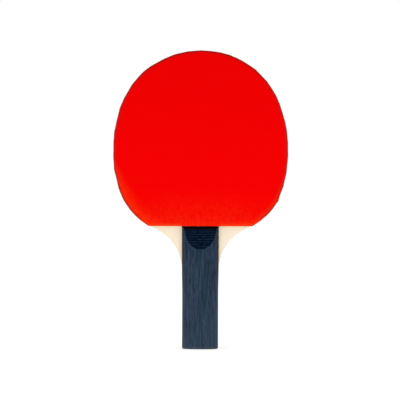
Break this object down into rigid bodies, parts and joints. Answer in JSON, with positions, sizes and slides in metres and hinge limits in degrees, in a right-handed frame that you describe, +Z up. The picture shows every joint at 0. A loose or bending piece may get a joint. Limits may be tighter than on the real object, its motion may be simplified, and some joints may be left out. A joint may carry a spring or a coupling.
{
  "type": "table tennis paddle",
  "caption": "Table tennis paddle with a plywood blade, a red sheet on one side, a black sheet on the other, and a straight stained-wood handle with a bevelled scoop under each sheet.",
  "frame": {"origin": "middle of the handle's butt, in the blade's middle plane", "axes": "+Z up the handle to the top of the head, -Y out of the red front face, +X to the right of the red face"},
  "size_m": [0.1502, 0.023, 0.2568],
  "materials": {
    "core_wood": "sanded",
    "cross_wood": "sanded",
    "face_wood": "sanded",
    "glue": "dull",
    "sponge": "porous",
    "red_rubber": "satin",
    "black_rubber": "satin",
    "stained_wood": "stained, matt"
  },
  "bodies": {
    "root": {"core_ply": "core_wood", "front_cross_ply": "cross_wood", "rear_cross_ply": "cross_wood", "front_face_ply": "face_wood", "rear_face_ply": "face_wood", "front_rubber_glue": "glue", "rear_rubber_glue": "glue", "front_sponge": "sponge", "rear_sponge": "sponge", "front_sheet_bond": "glue", "rear_sheet_bond": "glue", "front_top_sheet": "red_rubber", "rear_top_sheet": "black_rubber", "front_scale_glue": "glue", "rear_scale_glue": "glue", "front_handle_scale": "stained_wood", "rear_handle_scale": "stained_wood"}
  },
  "joints": []
}
